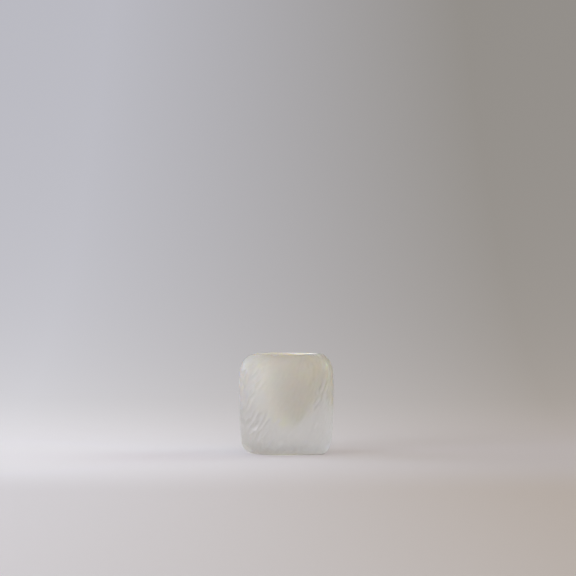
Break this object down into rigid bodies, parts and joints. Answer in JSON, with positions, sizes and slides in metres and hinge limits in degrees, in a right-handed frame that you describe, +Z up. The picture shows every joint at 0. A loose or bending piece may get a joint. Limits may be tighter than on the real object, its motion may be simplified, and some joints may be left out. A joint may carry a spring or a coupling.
{
  "type": "glass block vase",
  "caption": "Soft-cornered square block of satin clear glass with slanted cut strokes, around an opal cup open at the top for short stems or a small candle.",
  "frame": {"origin": "middle of the flat base, on the surface it stands on", "axes": "+Z up through the mouth, +X to the right and -Y towards the viewer of the front face"},
  "size_m": [0.095, 0.095, 0.1],
  "materials": {
    "clear_satin_glass": "clear glass, satin surface with short slanted wheel-cut strokes all over",
    "opal_glass": "cream opal glass, smooth, cloudy and slightly translucent"
  },
  "bodies": {
    "root": {"casing": "clear_satin_glass", "opal_cup": "opal_glass"}
  },
  "joints": []
}
